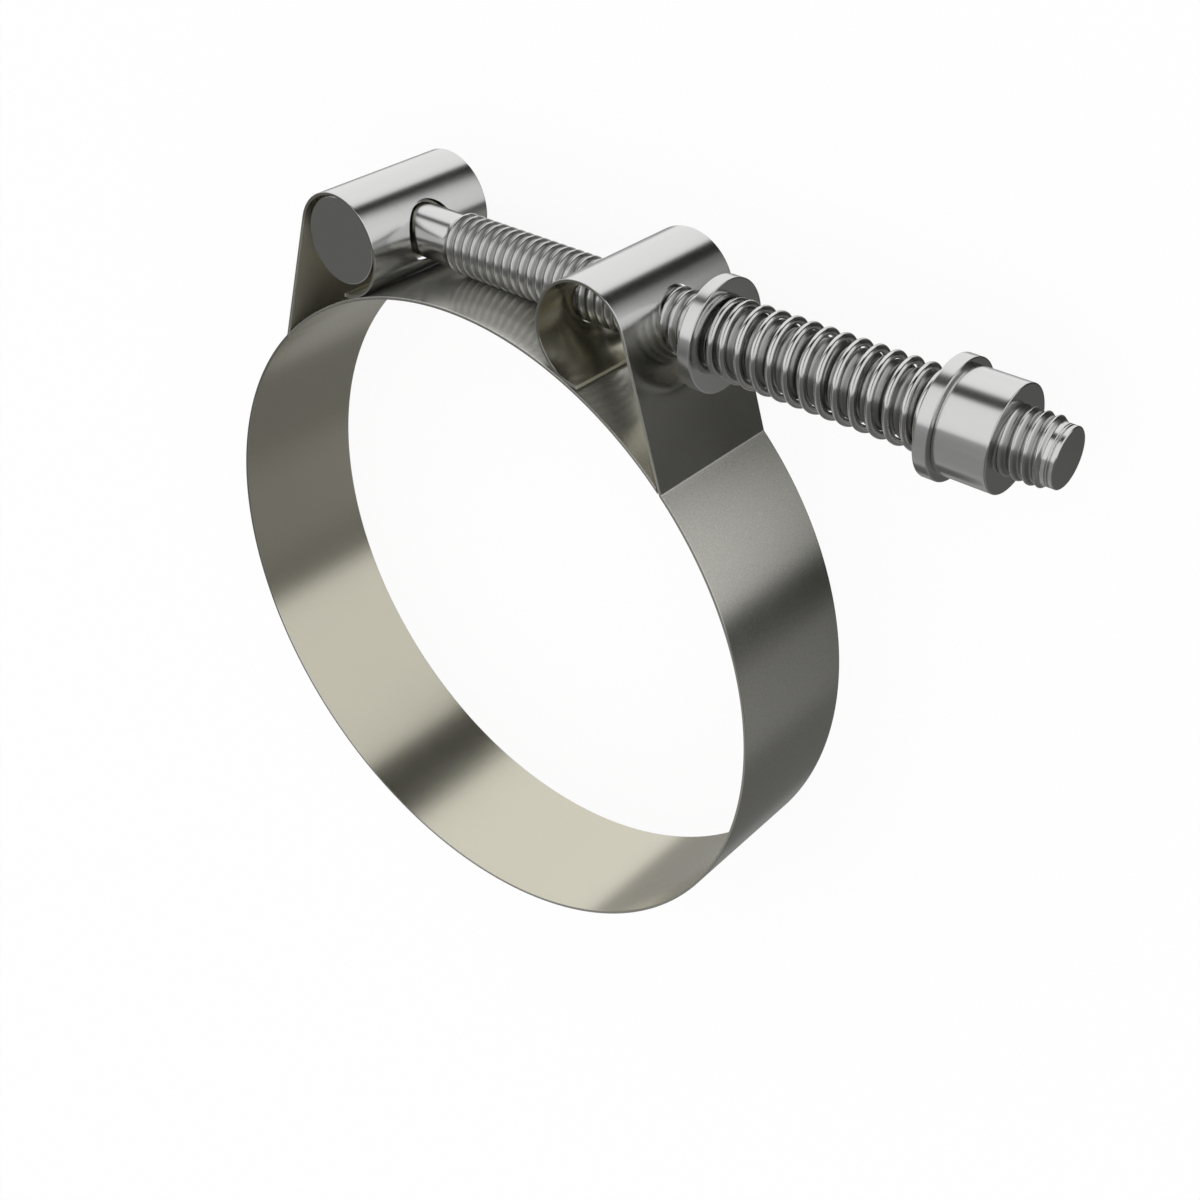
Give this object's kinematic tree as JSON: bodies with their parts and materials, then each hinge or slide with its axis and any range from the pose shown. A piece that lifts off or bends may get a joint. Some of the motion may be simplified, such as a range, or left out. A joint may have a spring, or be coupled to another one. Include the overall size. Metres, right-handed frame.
{
  "type": "t bolt clamp",
  "caption": "Spring-loaded T-bolt band clamp: a thin steel band with folded loops, a bridge strip, a T-shaped bolt, a coil spring between washers and a round lock nut.",
  "frame": {"origin": "on the axis of the bore that goes round the hose, in the plane of the band's lower edge, on which the clamp lies", "axes": "+Z along the axis of the bore, +X along the bolt from its cross bar to its nut, +Y from the bore to the bolt"},
  "size_m": [0.115, 0.0971, 0.0191],
  "materials": {
    "band_steel": "satin rolled stainless strip, slightly warm",
    "bridge_steel": "satin rolled stainless strip, slightly warm",
    "bolt_steel": "plain turned stainless, semi-bright",
    "washer_steel": "satin stainless",
    "spring_steel": "bright drawn wire",
    "nut_steel": "satin turned stainless"
  },
  "bodies": {
    "clamp_band": {"band": "band_steel", "bridge": "bridge_steel", "t_bolt": "bolt_steel"},
    "outer_seat": {"outer_washer": "washer_steel", "spring": "spring_steel"},
    "nut": {"lock_nut": "nut_steel"},
    "inner_seat": {"inner_washer": "washer_steel"}
  },
  "joints": [
    {"name": "nut_travel", "type": "slide", "parent": "clamp_band", "child": "outer_seat", "axis": [1, 0, 0], "range_m": [-0.0021, 0.0055]},
    {"name": "nut_turn", "type": "hinge", "parent": "outer_seat", "child": "nut", "pos_m": [0.0627, 0.047, 0.00953], "axis": [1, 0, 0], "range_deg": [-600, 1565]},
    {"name": "spring_compression", "type": "slide", "parent": "outer_seat", "child": "inner_seat", "axis": [1, 0, 0], "range_m": [0, 0.01], "stiffness_N_per_m": 565, "deforming": ["spring"]}
  ],
  "couplings": [
    {"joint": "nut_turn", "follows": "nut_travel", "rad_per_m": 4947.4}
  ]
}
